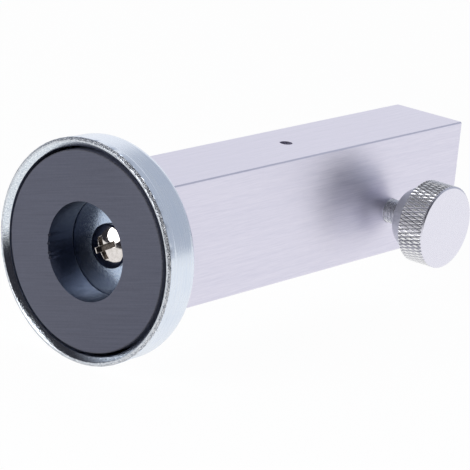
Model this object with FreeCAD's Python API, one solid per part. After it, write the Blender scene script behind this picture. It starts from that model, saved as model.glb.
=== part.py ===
# Camber caster gauge: a brushed aluminium bar with a magnet pot on one end, which sticks to a
# wheel hub. The reading face of the bar holds two camber vials, a cross level vial and a caster
# vial, whose cradle is tilted to zero by a knurled thumb screw.
#
# Frame: origin at the centre of the pot's working face, +X along the bar away from the magnet,
# -Y out of the thumb screw's side, +Y out of the reading face, +Z out of the side with the pin hole.
import FreeCAD, Part
import math
import os

from FreeCAD import Vector

# Magnet pot, pressed from steel sheet
pot_dia = 50.0
pot_height = 10.0
pot_floor = 1.0
pot_wall = 1.9
pot_back_round = 3.0
pot_inner_round = 0.6
pot_bore_clearance = 0.25
lip_width = 2.4
lip_step = 0.15
rim_chamfer = 0.5
rim_bevel = 1.15

# Ferrite ring, glued in the pot
ring_bore_dia = 22.0
ring_gap = 0.7
ring_recess = 0.9
ring_chamfer = 0.3
glue_thickness = 0.15
glue_margin = 1.0

# Magnet screw, M5 pan head with a slot and a cross
screw_dia = 5.0
screw_length = 12.0
screw_head_dia = 10.0
screw_head_height = 2.4
screw_head_side = 0.8
slot_width = 1.2
slot_depth = 0.65
cross_span = 5.2
cross_width = 1.3
cross_depth = 1.9
slot_angle = 29.0
thread_clearance = 0.05
tap_overrun = 1.5
screw_point = 0.5

# Bar
bar_length = 114.5
bar_width = 20.0
bar_height = 29.3
bar_chamfer = 0.3

# Scale plate, let into the reading face
plate_thickness = 1.0
plate_margin = 2.0
plate_corner = 2.0
plate_clearance = 0.1
plate_screw_inset = 3.0
plate_screw_dia = 2.0
plate_screw_length = 5.0
plate_screw_head_dia = 3.6
plate_screw_slot = 0.45
plate_screw_slot_depth = 0.4

# Vials, in common
vial_cover_gap = 0.3
vial_seat_clearance = 0.1
vial_end_clearance = 0.3
vial_wall = 0.9
vial_blind_end = 1.6
vial_plug_length = 2.4
vial_barrel_rise = 0.35
vial_edge = 0.3
plug_clearance = 0.03
fluid_clearance = 0.02
bubble_cover = 0.1
bubble_height_share = 0.35

# Camber vials, one towards each end of the bar
camber_vial_dia = 9.0
camber_from_bar_end = 9.2
camber_gap = 20.1
camber_land = 0.6
camber_bubble_length = 8.0
camber_window_inset = 3.5
camber_window_width = 6.0

# Cross level vial
level_vial_dia = 8.0
level_vial_length = 12.0
level_land = 1.5
level_from_bar_end = 24.0
level_bubble_length = 4.0
level_window_length = 8.0
level_window_width = 5.2

# Thumb screw, M6, and its knob
adjuster_arm = 29.8
adjuster_z = -3.9
adjuster_dia = 6.0
adjuster_pitch = 1.0
adjuster_turns = 1.25
knob_dia = 20.0
knob_rim_length = 7.0
knob_chamfer = 0.3
knob_boss_dia = 13.0
knob_boss_length = 4.2
knob_boss_bulge = 0.08
knob_shoulder = 0.6
knob_stand_off = 5.4
knob_socket_depth = 6.0
tip_dia = 4.4
tip_length = 1.5
tip_dome_radius = 5.0
tip_spigot_dia = 2.0
tip_spigot_length = 1.8
tip_gap = 0.05
running_clearance = 0.05

# Caster vial and its tilting cradle
caster_vial_dia = 7.5
caster_vial_length = 34.0
caster_bubble_length = 7.0
caster_window_length = 28.0
caster_window_width = 5.6
cradle_side_wall = 0.8
cradle_floor = 1.5
cradle_grip = 1.6
cradle_end_wall = 1.8
cradle_pivot_half = 3.8
cradle_pivot_cover = 1.5
cradle_tail_length = 7.0
cradle_tail_thickness = 2.0
cradle_side_clearance = 0.25
cradle_end_clearance = 0.6
cradle_swing_clearance = 0.3

# Pivot pin
pivot_from_middle = 0.95
pivot_y = 0.6
pin_dia = 3.0
pin_fit = 0.01
pin_recess = 2.5
pin_embedment = 3.5
pin_end_chamfer = 0.3

# Return spring under the cradle's tail
spring_wire = 0.5
spring_mean_dia = 3.2
spring_turns = 5
spring_steps_per_turn = 4
spring_side_clearance = 0.3
spring_seat_gap = 0.02
spring_back_wall = 1.8

# Room that every cut runs past its piece
overrun = 1.0

# Places of the pot and the bar
pot_r = pot_dia / 2
pot_wall_r = pot_r - lip_step
pot_inner_r = pot_wall_r - pot_wall
pot_floor_x = pot_height - pot_floor
bar_start_x = pot_height
bar_end_x = bar_start_x + bar_length
bar_y = bar_width / 2
bar_z = bar_height / 2
plate_back_y = bar_y - plate_thickness
plate_half_z = bar_z - plate_margin
plate_x0 = bar_start_x + plate_margin
plate_x1 = bar_end_x - plate_margin

# Places of the fixed vials
camber_vial_r = camber_vial_dia / 2
camber_slot_r = camber_vial_r + vial_seat_clearance
camber_vial_length = (bar_length - camber_gap) / 2 - camber_from_bar_end
camber_window_length = camber_vial_length - 2 * camber_window_inset
camber_vial_y = plate_back_y - vial_cover_gap - camber_vial_r
camber_row_z = plate_half_z - camber_land - camber_slot_r
camber_from_end = camber_from_bar_end + camber_vial_length / 2
camber_xs = {"left": bar_start_x + camber_from_end, "right": bar_end_x - camber_from_end}
level_vial_r = level_vial_dia / 2
level_x = bar_start_x + level_from_bar_end
level_y = plate_back_y - vial_cover_gap - level_vial_r
level_top_z = camber_row_z - camber_slot_r - level_land
level_z = level_top_z - vial_end_clearance - level_vial_length / 2

# Places of the pivot and the thumb screw, and how far they move the cradle
pivot_x = (bar_start_x + bar_end_x) / 2 + pivot_from_middle
adjuster_x = pivot_x + adjuster_arm
adjuster_travel = adjuster_turns * adjuster_pitch
tilt = math.atan(adjuster_travel / adjuster_arm)

# Places of the cradle and the pocket that it swings in
caster_vial_r = caster_vial_dia / 2
trough_r = caster_vial_r + vial_seat_clearance
trough_x0 = pivot_x + cradle_pivot_half
trough_x1 = trough_x0 + caster_vial_length + 2 * vial_seat_clearance
caster_vial_x = (trough_x0 + trough_x1) / 2
cradle_x0 = pivot_x - cradle_pivot_half - cradle_tail_length
cradle_x1 = trough_x1 + cradle_end_wall
vial_swing = (trough_x1 - pivot_x) * math.tan(tilt)
caster_vial_y = plate_back_y - cradle_swing_clearance - vial_swing - caster_vial_r
cradle_bottom_y = caster_vial_y - trough_r - cradle_floor
cradle_half_z = trough_r + cradle_side_wall
cradle_swing = (cradle_x1 - pivot_x) * math.tan(tilt)
pocket_floor_y = cradle_bottom_y - cradle_swing - cradle_swing_clearance
pocket_half_z = cradle_half_z + cradle_side_clearance
tail_bottom_y = pivot_y - cradle_tail_thickness / 2
pin_r = pin_dia / 2
pin_end_z = adjuster_z - pocket_half_z - pin_embedment
spring_x = pivot_x - cradle_pivot_half - cradle_tail_length / 2
spring_hole_r = (spring_mean_dia + spring_wire) / 2 + spring_side_clearance
spring_seat_y = spring_back_wall - bar_y

# Places along the thumb screw
stud_r = adjuster_dia / 2 - thread_clearance
tip_end_y = cradle_bottom_y - tip_gap
stud_end_y = tip_end_y - tip_length
boss_end_y = -bar_y - knob_stand_off
knob_back_y = boss_end_y - knob_boss_length
knob_face_y = knob_back_y - knob_rim_length
socket_end_y = boss_end_y - knob_socket_depth

ALONG_Y = FreeCAD.Rotation(Vector(0, 0, 1), 90)
ALONG_Z = FreeCAD.Rotation(Vector(0, 1, 0), -90)


def block(x0, x1, y0, y1, z0, z1):
    return Part.makeBox(x1 - x0, y1 - y0, z1 - z0, Vector(x0, y0, z0))


def cylinder_x(radius, x0, x1, y=0.0, z=0.0):
    return Part.makeCylinder(radius, x1 - x0, Vector(x0, y, z), Vector(1, 0, 0))


def cylinder_y(radius, y0, y1, x, z):
    return Part.makeCylinder(radius, y1 - y0, Vector(x, y0, z), Vector(0, 1, 0))


def cylinder_z(radius, z0, z1, x, y):
    return Part.makeCylinder(radius, z1 - z0, Vector(x, y, z0), Vector(0, 0, 1))


def round_middle(centre, radius, along, out):
    """The middle of a quarter round about centre, towards the signs along and out."""
    reach = radius * math.sqrt(0.5)
    return (centre[0] + along * reach, centre[1] + out * reach)


def turned(start, *steps):
    """A solid turned about X. A step is a point (along, radius), or (middle, end) for an arc."""
    edges = []
    here = Vector(start[0], start[1], 0)
    for step in [*steps, start]:
        if isinstance(step[0], tuple):
            middle, end = (Vector(p[0], p[1], 0) for p in step)
            edges.append(Part.Arc(here, middle, end).toShape())
        else:
            end = Vector(step[0], step[1], 0)
            edges.append(Part.makeLine(here, end))
        here = end
    face = Part.Face(Part.Wire(edges))
    return face.revolve(Vector(0, 0, 0), Vector(1, 0, 0), 360)


def placed(shape, x, y, z, rotation=None):
    moved = shape.copy()
    moved.Placement = FreeCAD.Placement(Vector(x, y, z), rotation or FreeCAD.Rotation())
    return moved


def cut_all(solid, tools):
    for tool in tools:
        solid = solid.cut(tool)
    return solid


def rounded_slot(length, width, x, z, upright=False):
    """A slot with round ends through the scale plate, along X, or along Z if upright."""
    half = width / 2
    reach = length / 2 - half
    y0, y1 = plate_back_y - overrun, bar_y + overrun
    if upright:
        ends = [cylinder_y(half, y0, y1, x, z + side * reach) for side in (-1, 1)]
        return block(x - half, x + half, y0, y1, z - reach, z + reach).fuse(ends)
    ends = [cylinder_y(half, y0, y1, x + side * reach, z) for side in (-1, 1)]
    return block(x - reach, x + reach, y0, y1, z - half, z + half).fuse(ends)


def rounded_panel(x0, x1, y0, y1, half_z, corner):
    panel = block(x0, x1, y0, y1, -half_z, half_z)
    upright = [e for e in panel.Edges if abs(e.tangentAt(e.FirstParameter).y) > 0.5]
    return panel.makeFillet(corner, upright)


def magnet_cup():
    bore_r = screw_dia / 2 + pot_bore_clearance
    outer_centre = (pot_height - pot_back_round, pot_wall_r - pot_back_round)
    inner_centre = (pot_floor_x - pot_inner_round, pot_inner_r - pot_inner_round)
    return turned(
        (pot_floor_x, bore_r),
        (pot_floor_x, inner_centre[1]),
        (round_middle(inner_centre, pot_inner_round, 1, 1), (inner_centre[0], pot_inner_r)),
        (rim_bevel, pot_inner_r),
        (0.0, pot_inner_r + rim_bevel),
        (0.0, pot_r - rim_chamfer),
        (rim_chamfer, pot_r),
        (lip_width, pot_r),
        (lip_width, pot_wall_r),
        (outer_centre[0], pot_wall_r),
        (round_middle(outer_centre, pot_back_round, 1, 1), (pot_height, outer_centre[1])),
        (pot_height, bore_r),
    )


def magnet_ring():
    inner, outer = ring_bore_dia / 2, pot_inner_r - ring_gap
    front, back = ring_recess, pot_floor_x - glue_thickness
    c = ring_chamfer
    return turned(
        (front, inner + c),
        (front, outer - c),
        (front + c, outer),
        (back - c, outer),
        (back, outer - c),
        (back, inner + c),
        (back - c, inner),
        (front + c, inner),
    )


def magnet_adhesive():
    inner = ring_bore_dia / 2 + glue_margin
    outer = pot_inner_r - ring_gap - glue_margin
    front = pot_floor_x - glue_thickness
    return cylinder_x(outer, front, pot_floor_x).cut(
        cylinder_x(inner, front - overrun, pot_floor_x + overrun)
    )


def magnet_screw():
    head_r = screw_head_dia / 2
    shank_r = screw_dia / 2 - thread_clearance
    shoulder_x = pot_floor_x - screw_head_side
    top_x = pot_floor_x - screw_head_height
    crown = shoulder_x - top_x
    crown_r = (head_r**2 + crown**2) / (2 * crown)
    half_angle = math.asin(head_r / crown_r) / 2
    crown_middle = (top_x + crown_r - crown_r * math.cos(half_angle), crown_r * math.sin(half_angle))
    end_x = pot_floor_x + screw_length
    screw = turned(
        (top_x, 0.0),
        (crown_middle, (shoulder_x, head_r)),
        (pot_floor_x, head_r),
        (pot_floor_x, shank_r),
        (end_x - screw_point, shank_r),
        (end_x, shank_r - screw_point),
        (end_x, 0.0),
    )
    start_x = top_x - overrun
    slot_reach = head_r + overrun
    slot = block(
        start_x, top_x + slot_depth, -slot_reach, slot_reach, -slot_width / 2, slot_width / 2
    )
    arm = block(
        start_x, top_x + cross_depth, -cross_span / 2, cross_span / 2, -cross_width / 2, cross_width / 2
    )
    recess = slot.fuse([arm, arm.rotated(Vector(0, 0, 0), Vector(1, 0, 0), 90)])
    return screw.cut(recess.rotated(Vector(0, 0, 0), Vector(1, 0, 0), -slot_angle))


def plate_screw_places():
    x0, x1 = plate_x0 + plate_screw_inset, plate_x1 - plate_screw_inset
    z = plate_half_z - plate_screw_inset
    return [(x, side * z) for x in (x0, x1) for side in (-1, 1)]


def camber_slot(x):
    """A round-bottomed slot for a camber vial, open towards the reading face."""
    half = camber_vial_length / 2 + vial_end_clearance
    bed = cylinder_x(camber_slot_r, x - half, x + half, camber_vial_y, camber_row_z)
    mouth = block(
        x - half, x + half, camber_vial_y, bar_y + overrun,
        camber_row_z - camber_slot_r, camber_row_z + camber_slot_r,
    )
    return bed.fuse(mouth)


def level_slot():
    """The same kind of slot across the bar, for the level vial."""
    radius = level_vial_r + vial_seat_clearance
    half = level_vial_length / 2 + vial_end_clearance
    bed = cylinder_z(radius, level_z - half, level_z + half, level_x, level_y)
    mouth = block(
        level_x - radius, level_x + radius, level_y, bar_y + overrun, level_z - half, level_z + half
    )
    return bed.fuse(mouth)


def caster_pocket():
    return block(
        cradle_x0 - cradle_end_clearance, cradle_x1 + cradle_end_clearance,
        pocket_floor_y, bar_y + overrun,
        adjuster_z - pocket_half_z, adjuster_z + pocket_half_z,
    )


def plate_recess():
    return rounded_panel(
        plate_x0 - plate_clearance, plate_x1 + plate_clearance, plate_back_y, bar_y + overrun,
        plate_half_z + plate_clearance, plate_corner + plate_clearance,
    )


def body():
    bar = block(bar_start_x, bar_end_x, -bar_y, bar_y, -bar_z, bar_z)
    bar = bar.makeChamfer(bar_chamfer, bar.Edges)
    tap_end = pot_floor_x + screw_length + tap_overrun
    plate_tap_end = bar_y - plate_screw_length - tap_overrun
    bar = cut_all(bar, [
        plate_recess(),
        level_slot(),
        caster_pocket(),
        cylinder_x(screw_dia / 2, bar_start_x - overrun, tap_end),
        cylinder_z(pin_r, pin_end_z, bar_z + overrun, pivot_x, pivot_y),
        cylinder_y(adjuster_dia / 2, -bar_y - overrun, tail_bottom_y, adjuster_x, adjuster_z),
        cylinder_y(spring_hole_r, spring_seat_y, tail_bottom_y, spring_x, adjuster_z),
    ])
    bar = cut_all(bar, [camber_slot(x) for x in camber_xs.values()])
    return cut_all(
        bar, [cylinder_y(plate_screw_dia / 2, plate_tap_end, bar_y, x, z) for x, z in plate_screw_places()]
    )


def countersunk_cone(grow=0.0):
    """The cone of a plate screw's head about X, its face at 0 and its shank towards -X."""
    head_r = plate_screw_head_dia / 2 + grow
    shank_r = plate_screw_dia / 2 - thread_clearance + grow
    return turned((0.0, 0.0), (0.0, head_r), (shank_r - head_r, shank_r), (shank_r - head_r, 0.0))


def scale_plate():
    plate = rounded_panel(plate_x0, plate_x1, plate_back_y, bar_y, plate_half_z, plate_corner)
    plate = cut_all(plate, [
        rounded_slot(camber_window_length, camber_window_width, x, camber_row_z)
        for x in camber_xs.values()
    ])
    plate = cut_all(plate, [
        rounded_slot(caster_window_length, caster_window_width, caster_vial_x, adjuster_z),
        rounded_slot(level_window_length, level_window_width, level_x, level_z, upright=True),
    ])
    hole_r = plate_screw_dia / 2 + thread_clearance
    for x, z in plate_screw_places():
        plate = plate.cut(cylinder_y(hole_r, plate_back_y - overrun, bar_y + overrun, x, z))
        plate = plate.cut(placed(countersunk_cone(thread_clearance), x, bar_y, z, ALONG_Y))
    return plate


def scale_plate_screws():
    head_r = plate_screw_head_dia / 2
    shank_r = plate_screw_dia / 2 - thread_clearance
    screw = countersunk_cone().fuse(cylinder_x(shank_r, -plate_screw_length, 0.0)).removeSplitter()
    reach = head_r + overrun
    half = plate_screw_slot / 2
    screw = screw.cut(block(-plate_screw_slot_depth, overrun, -reach, reach, -half, half))
    return Part.makeCompound([placed(screw, x, bar_y, z, ALONG_Y) for x, z in plate_screw_places()])


def vial_set(prefix, diameter, length, bubble_length, x, y, z, rotation=None):
    """Tube, fluid and plug of a vial, blind at one end, with its bubble towards the reading face."""
    outer = diameter / 2
    middle_bore = outer - vial_wall
    end_bore = middle_bore - vial_barrel_rise
    x0, x1 = -length / 2, length / 2
    bore_x0, bore_x1 = x0 + vial_blind_end, x1 - vial_plug_length
    bore_middle = (bore_x0 + bore_x1) / 2
    e = vial_edge
    tube = turned(
        (x0, 0.0),
        (x0, outer - e),
        (x0 + e, outer),
        (x1 - e, outer),
        (x1, outer - e),
        (x1, end_bore),
        (bore_x1, end_bore),
        ((bore_middle, middle_bore), (bore_x0, end_bore)),
        (bore_x0, 0.0),
    )
    gap = fluid_clearance
    fluid = turned(
        (bore_x0 + gap, 0.0),
        (bore_x0 + gap, end_bore - gap),
        ((bore_middle, middle_bore - gap), (bore_x1 - gap, end_bore - gap)),
        (bore_x1 - gap, 0.0),
    )
    half_length = bubble_length / 2
    half_height = half_length * bubble_height_share
    dome = Part.Ellipse(Vector(0, 0, 0), half_length, half_height).toShape(0, math.pi)
    axis = Part.makeLine(Vector(-half_length, 0, 0), Vector(half_length, 0, 0))
    bubble = Part.Face(Part.Wire([dome, axis])).revolve(Vector(0, 0, 0), Vector(1, 0, 0), 360)
    bubble.translate(Vector(bore_middle, middle_bore - gap - bubble_cover - half_height, 0))
    plug = cylinder_x(end_bore - plug_clearance, bore_x1 + plug_clearance, x1)
    return {
        f"{prefix}_vial": placed(tube, x, y, z, rotation),
        f"{prefix}_vial_fluid": placed(fluid.cut(bubble), x, y, z, rotation),
        f"{prefix}_vial_plug": placed(plug, x, y, z, rotation),
    }


def caster_cradle():
    low_z, high_z = adjuster_z - cradle_half_z, adjuster_z + cradle_half_z
    pivot_end = pivot_x - cradle_pivot_half
    pivot_top = pivot_y + pin_r + cradle_pivot_cover
    trough = block(trough_x0, cradle_x1, cradle_bottom_y, caster_vial_y + cradle_grip, low_z, high_z)
    trough = trough.cut(cylinder_x(trough_r, trough_x0, trough_x1, caster_vial_y, adjuster_z))
    pivot = block(pivot_end, trough_x0, cradle_bottom_y, pivot_top, low_z, high_z)
    tail = block(
        cradle_x0, pivot_end, tail_bottom_y, tail_bottom_y + cradle_tail_thickness, low_z, high_z
    )
    cradle = trough.fuse([pivot, tail]).removeSplitter()
    bore_r = pin_r + running_clearance
    return cradle.cut(cylinder_z(bore_r, low_z - overrun, high_z + overrun, pivot_x, pivot_y))


def cradle_pivot_pin():
    radius = pin_r - pin_fit
    top_z = bar_z - pin_recess
    c = pin_end_chamfer
    pin = turned(
        (pin_end_z, 0.0),
        (pin_end_z, radius - c),
        (pin_end_z + c, radius),
        (top_z - c, radius),
        (top_z, radius - c),
        (top_z, 0.0),
    )
    return placed(pin, pivot_x, pivot_y, 0.0, ALONG_Z)


def arc_from(start, tangent, end):
    """The arc that leaves start along tangent and reaches end."""
    chord = end - start
    along = Vector(chord).normalize()
    side = tangent - along * tangent.dot(along)
    angle = math.atan2(side.Length, tangent.dot(along))
    rise = chord.Length / 2 * math.tan(angle / 2)
    middle = start + chord * 0.5 + side.normalize() * rise
    return Part.Arc(start, middle, end).toShape()


def biarc(start, start_tangent, end, end_tangent):
    """Two arcs from start to end that share a tangent where they meet."""
    chord = end - start
    both = start_tangent + end_tangent
    a = 2 * (1 - start_tangent.dot(end_tangent))
    b = 2 * chord.dot(both)
    reach = (math.sqrt(b * b + 4 * a * chord.dot(chord)) - b) / (2 * a)
    joint = (start + end + (start_tangent - end_tangent) * reach) * 0.5
    last = arc_from(end, end_tangent * -1, joint)
    return [arc_from(start, start_tangent, joint), last]


def cradle_spring():
    """A coil along Y, swept round biarcs of a quarter turn each."""
    wire_r = spring_wire / 2
    mean_r = spring_mean_dia / 2
    low = spring_seat_y + wire_r + spring_seat_gap
    high = tail_bottom_y - wire_r - spring_seat_gap
    rise = (high - low) / (spring_turns * math.tau)
    steps = spring_turns * spring_steps_per_turn
    points, tangents = [], []
    for i in range(steps + 1):
        angle = math.tau * i / spring_steps_per_turn
        across, up = math.cos(angle), math.sin(angle)
        points.append(Vector(spring_x + mean_r * across, low + rise * angle, adjuster_z + mean_r * up))
        tangents.append(Vector(-mean_r * up, rise, mean_r * across).normalize())
    edges = []
    for i in range(steps):
        edges += biarc(points[i], tangents[i], points[i + 1], tangents[i + 1])
    path = Part.Wire(Part.__sortEdges__(edges))
    section = Part.Wire(Part.makeCircle(wire_r, points[0], tangents[0]))
    coil = path.makePipeShell([section], True, False)
    print("spring gap between turns", round((high - low) / spring_turns - spring_wire, 3))
    return coil


def adjuster_knob():
    rim_r, boss_r = knob_dia / 2, knob_boss_dia / 2
    c = knob_chamfer
    shoulder_r = rim_r - knob_shoulder
    dx, dr = knob_boss_length, shoulder_r - boss_r
    slant = math.hypot(dx, dr)
    boss_middle = (
        knob_back_y + dx / 2 + knob_boss_bulge * dr / slant,
        (shoulder_r + boss_r) / 2 + knob_boss_bulge * dx / slant,
    )
    socket_r = adjuster_dia / 2
    knob = turned(
        (knob_face_y, 0.0),
        (knob_face_y, rim_r - c),
        (knob_face_y + c, rim_r),
        (knob_back_y - c, rim_r),
        (knob_back_y, shoulder_r),
        (boss_middle, (boss_end_y, boss_r)),
        (boss_end_y, socket_r),
        (socket_end_y, socket_r),
        (socket_end_y, 0.0),
    )
    return placed(knob, adjuster_x, 0.0, adjuster_z, ALONG_Y)


def adjuster_screw():
    spigot_r = tip_spigot_dia / 2 + running_clearance
    spigot_end = stud_end_y - tip_spigot_length - running_clearance
    screw = turned(
        (socket_end_y, 0.0),
        (socket_end_y, stud_r),
        (stud_end_y - screw_point, stud_r),
        (stud_end_y, stud_r - screw_point),
        (stud_end_y, spigot_r),
        (spigot_end, spigot_r),
        (spigot_end, 0.0),
    )
    return placed(screw, adjuster_x, 0.0, adjuster_z, ALONG_Y)


def adjuster_tip():
    tip_r, spigot_r = tip_dia / 2, tip_spigot_dia / 2
    dome_drop = tip_dome_radius - math.sqrt(tip_dome_radius**2 - tip_r**2)
    half_angle = math.asin(tip_r / tip_dome_radius) / 2
    middle = (
        tip_end_y - tip_dome_radius + tip_dome_radius * math.cos(half_angle),
        tip_dome_radius * math.sin(half_angle),
    )
    tip = turned(
        (stud_end_y - tip_spigot_length, 0.0),
        (stud_end_y - tip_spigot_length, spigot_r),
        (stud_end_y, spigot_r),
        (stud_end_y, tip_r),
        (tip_end_y - dome_drop, tip_r),
        (middle, (tip_end_y, 0.0)),
    )
    return placed(tip, adjuster_x, 0.0, adjuster_z, ALONG_Y)


def all_parts():
    parts = {
        "body": body(),
        "magnet_cup": magnet_cup(),
        "magnet_ring": magnet_ring(),
        "magnet_adhesive": magnet_adhesive(),
        "magnet_screw": magnet_screw(),
        "scale_plate": scale_plate(),
        "scale_plate_screws": scale_plate_screws(),
        "caster_cradle": caster_cradle(),
        "cradle_pivot_pin": cradle_pivot_pin(),
        "cradle_spring": cradle_spring(),
        "adjuster_knob": adjuster_knob(),
        "adjuster_screw": adjuster_screw(),
        "adjuster_tip": adjuster_tip(),
    }
    for side, x in camber_xs.items():
        parts |= vial_set(
            f"camber_{side}", camber_vial_dia, camber_vial_length, camber_bubble_length,
            x, camber_vial_y, camber_row_z,
        )
    parts |= vial_set(
        "level", level_vial_dia, level_vial_length, level_bubble_length,
        level_x, level_y, level_z, ALONG_Z,
    )
    parts |= vial_set(
        "caster", caster_vial_dia, caster_vial_length, caster_bubble_length,
        caster_vial_x, caster_vial_y, adjuster_z,
    )
    return parts


os.makedirs("parts", exist_ok=True)
for name, shape in all_parts().items():
    shape.exportStep(f"parts/{name}.step")
    print(name, "solids", len(shape.Solids), "valid", shape.isValid(), "volume", round(shape.Volume, 2))
print("thumb screw travel", adjuster_travel, "tilt", round(math.degrees(tilt), 4))
print("pivot", round(pivot_x, 3), pivot_y, "thumb screw", round(adjuster_x, 3), adjuster_z)
print("pocket floor", round(pocket_floor_y, 3), "cradle bottom", round(cradle_bottom_y, 3))
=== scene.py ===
# %% [markdown]
# # A magnetic camber and caster gauge
# The gauge is a brushed aluminium bar with a magnet pot screwed to one end. The pot sticks to a
# wheel hub, and four bubble vials in the bar's reading face then show how the wheel leans. A
# knurled thumb screw tilts one of the vials to zero.
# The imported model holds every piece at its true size, so this lesson only gives the pieces their
# shapes up close and their finishes. It starts by loading that model as a frame.

# %% Load the frame
import math

import bmesh
import bpy
from mathutils import Matrix, Vector


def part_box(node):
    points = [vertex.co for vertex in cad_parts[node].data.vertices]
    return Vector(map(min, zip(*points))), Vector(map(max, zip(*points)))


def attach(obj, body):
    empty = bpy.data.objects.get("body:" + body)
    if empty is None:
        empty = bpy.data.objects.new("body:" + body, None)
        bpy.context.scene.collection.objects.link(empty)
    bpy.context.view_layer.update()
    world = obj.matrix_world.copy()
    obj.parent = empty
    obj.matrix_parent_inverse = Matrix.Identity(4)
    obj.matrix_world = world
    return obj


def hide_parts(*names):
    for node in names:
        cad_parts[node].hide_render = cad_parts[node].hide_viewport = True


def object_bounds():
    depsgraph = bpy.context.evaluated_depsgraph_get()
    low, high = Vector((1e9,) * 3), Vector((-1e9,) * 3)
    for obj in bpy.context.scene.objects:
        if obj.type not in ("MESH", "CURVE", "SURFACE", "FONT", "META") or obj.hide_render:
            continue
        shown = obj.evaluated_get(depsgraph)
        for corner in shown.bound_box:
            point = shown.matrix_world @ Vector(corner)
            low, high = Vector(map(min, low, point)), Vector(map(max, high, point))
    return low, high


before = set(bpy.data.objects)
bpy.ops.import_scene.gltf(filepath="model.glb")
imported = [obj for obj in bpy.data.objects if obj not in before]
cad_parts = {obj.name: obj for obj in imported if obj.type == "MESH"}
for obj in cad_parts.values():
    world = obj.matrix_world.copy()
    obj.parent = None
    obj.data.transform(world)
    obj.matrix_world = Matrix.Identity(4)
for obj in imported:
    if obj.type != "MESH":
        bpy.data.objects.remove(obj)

cad_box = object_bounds()

# %% [markdown]
# Blender measures in metres and a workshop in millimetres. One constant turns one into the other,
# and a small function reads a piece's box from the frame in millimetres. Every size below comes
# from such a box or is named where it is first used.

# %% Millimetres and boxes
MM = 0.001


def box_mm(node):
    """Lowest and highest corner of a piece of the frame, in millimetres."""
    low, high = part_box(node)
    return low / MM, high / MM


cup_low, cup_high = box_mm("magnet_cup")
bar_low, bar_high = box_mm("body")
print("magnet pot across", round(cup_high.z - cup_low.z, 2))
print("bar", [round(v, 2) for v in bar_high - bar_low])

# %% [markdown]
# ## Camera
# The photograph looks along the bar from the magnet's side, a little from above, with a long lens
# from half a metre away. A long lens keeps the bar's edges nearly parallel. The place and the
# directions come from the corners of the bar and the ellipse of the pot, fitted as real sizes.

# %% Camera
photo_width = 470
focal_px = 2557.6
sensor_mm = 36.0
near_clip = 0.01
camera_place = Vector((-388.7, -351.7, 162.6)) * MM
camera_look = Vector((0.7491, 0.5982, -0.2848)).normalized()
towards_top = Vector((0.1626, 0.2508, 0.9543))
camera_right = camera_look.cross(towards_top).normalized()
camera_up = camera_right.cross(camera_look)

bpy.ops.object.camera_add(location=camera_place)
camera = bpy.context.object
camera.name = "camera"
turn_to_photo = Matrix((camera_right, camera_up, -camera_look)).transposed().to_4x4()
camera.matrix_world = Matrix.Translation(camera_place) @ turn_to_photo
camera.data.sensor_width = sensor_mm
camera.data.lens = sensor_mm * focal_px / photo_width
camera.data.clip_start = near_clip
bpy.context.scene.camera = camera
print("lens in mm", round(camera.data.lens, 1))

# %% [markdown]
# ## Nodes and colours
# Every finish below is a small tree of nodes. One function adds a node, fills its sockets and
# links what feeds it. Colours are written as a painter reads them, in hex, and one function turns
# them into the linear values that the renderer counts in. The Mix node takes its share in socket 0
# and its two colours in sockets 6 and 7, and gives the mixed colour at output 2.

# %% Nodes and colours
def linear(hex_colour):
    """A colour such as #D8D8E4 as linear red, green, blue and alpha."""
    channels = [int(hex_colour[i:i + 2], 16) / 255 for i in (1, 3, 5)]
    return tuple(c / 12.92 if c <= 0.04045 else ((c + 0.055) / 1.055) ** 2.4 for c in channels) + (1.0,)


def add_node(owner, kind, settings, links=None):
    """Adds a node. Settings fill its sockets or its own properties, and links feed its sockets."""
    node = owner.node_tree.nodes.new(kind)
    for key, value in settings.items():
        if isinstance(key, int) or key in node.inputs:
            node.inputs[key].default_value = value
        else:
            setattr(node, key, value)
    for key, source in (links or {}).items():
        owner.node_tree.links.new(source, node.inputs[key])
    return node


print("mid grey in linear light", round(linear("#808080")[0], 3))

# %% [markdown]
# ## Studio
# The gauge lies on a white table under soft light. The table is a plane at the pot's lowest point.
# The camera and clear pieces see it as white paper, and a small share of plain paint keeps the soft
# shadow under the gauge. Bright metal mirrors the paper too, but only up to the edge of the sheet:
# beyond it, towards the photographer, it mirrors dark paint.

# %% Table
table_size = 3.0
table_paint_share = 0.05
sheet_edge_mm = (110.0, 170.0)
beyond_sheet = 0.05
paper_glow = 1.02
towards_camera = Vector((-camera_look.x, -camera_look.y, 0)).normalized()

bpy.ops.mesh.primitive_plane_add(size=table_size, location=(0, 0, cup_low.z * MM))
table = bpy.context.object
table.name = "table"
paper = bpy.data.materials.new("white_paper")
paper.use_nodes = True
paper.node_tree.nodes.clear()
on_table = add_node(paper, "ShaderNodeTexCoord", {})
to_photographer = add_node(
    paper, "ShaderNodeVectorMath", {"operation": "DOT_PRODUCT", 1: towards_camera},
    {0: on_table.outputs["Object"]},
)
sheet = add_node(
    paper, "ShaderNodeMapRange",
    {
        "interpolation_type": "SMOOTHSTEP", "To Min": 1.0, "To Max": beyond_sheet,
        "From Min": sheet_edge_mm[0] * MM, "From Max": sheet_edge_mm[1] * MM,
    },
    {"Value": to_photographer.outputs["Value"]},
)
rays = add_node(paper, "ShaderNodeLightPath", {})
mirrored = add_node(
    paper, "ShaderNodeMath", {"operation": "MULTIPLY"},
    {0: rays.outputs["Is Glossy Ray"], 1: sheet.outputs[0]},
)
seen = add_node(
    paper, "ShaderNodeMath", {"operation": "MAXIMUM"},
    {0: rays.outputs["Is Camera Ray"], 1: rays.outputs["Is Transmission Ray"]},
)
seen_or_mirrored = add_node(
    paper, "ShaderNodeMath", {"operation": "MAXIMUM"}, {0: seen.outputs[0], 1: mirrored.outputs[0]}
)
share = add_node(
    paper, "ShaderNodeMath", {"operation": "MULTIPLY", 1: 1 - table_paint_share},
    {0: seen_or_mirrored.outputs[0]},
)
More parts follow.
